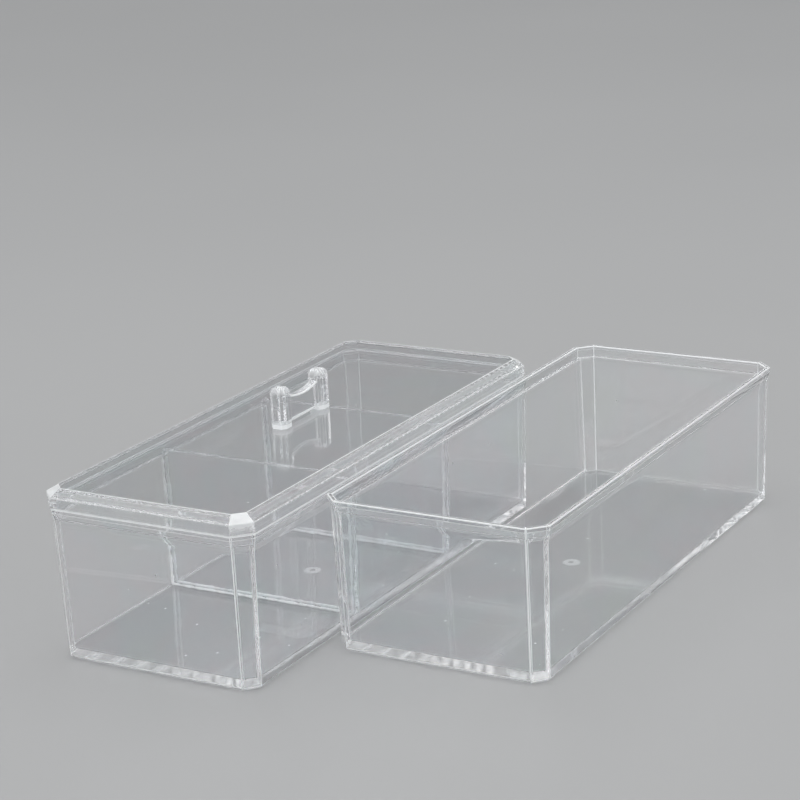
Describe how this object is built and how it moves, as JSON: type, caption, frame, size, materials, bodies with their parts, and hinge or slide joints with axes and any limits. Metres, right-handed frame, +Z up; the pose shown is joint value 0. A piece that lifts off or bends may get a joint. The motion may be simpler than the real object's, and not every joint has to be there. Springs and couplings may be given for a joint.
{
  "type": "clear stacking cosmetic organiser",
  "caption": "Clear moulded cosmetic organiser: an open tray beside a tray with cross walls and a lift-off bevelled lid with a bow knob; the rims are rebated so that the trays stack.",
  "frame": {"origin": "under the middle of the pair of trays, on the surface that both stand on", "axes": "+Z up, +Y along the trays towards the end where the open tray reaches further, +X across from the lidded tray to the open tray"},
  "size_m": [0.1572, 0.2302, 0.071],
  "materials": {
    "clear_tray": "clear, polished mould finish",
    "clear_divider": "clear, polished sheet",
    "clear_lid": "clear, polished mould finish",
    "clear_knob": "clear, polished, frosted at the bonded feet"
  },
  "bodies": {
    "open_tray": {"open_tray": "clear_tray"},
    "divided_tray": {"divided_tray": "clear_tray", "front_divider": "clear_divider", "rear_divider": "clear_divider"},
    "lid": {"lid": "clear_lid", "bow_knob": "clear_knob"}
  },
  "joints": [
    {"name": "tray_lift", "type": "slide", "parent": "open_tray", "child": "divided_tray", "axis": [0, 0, 1], "range_m": [0, 0.06]},
    {"name": "lid_lift", "type": "slide", "parent": "divided_tray", "child": "lid", "axis": [0, 0, 1], "range_m": [0, 0.06]}
  ]
}
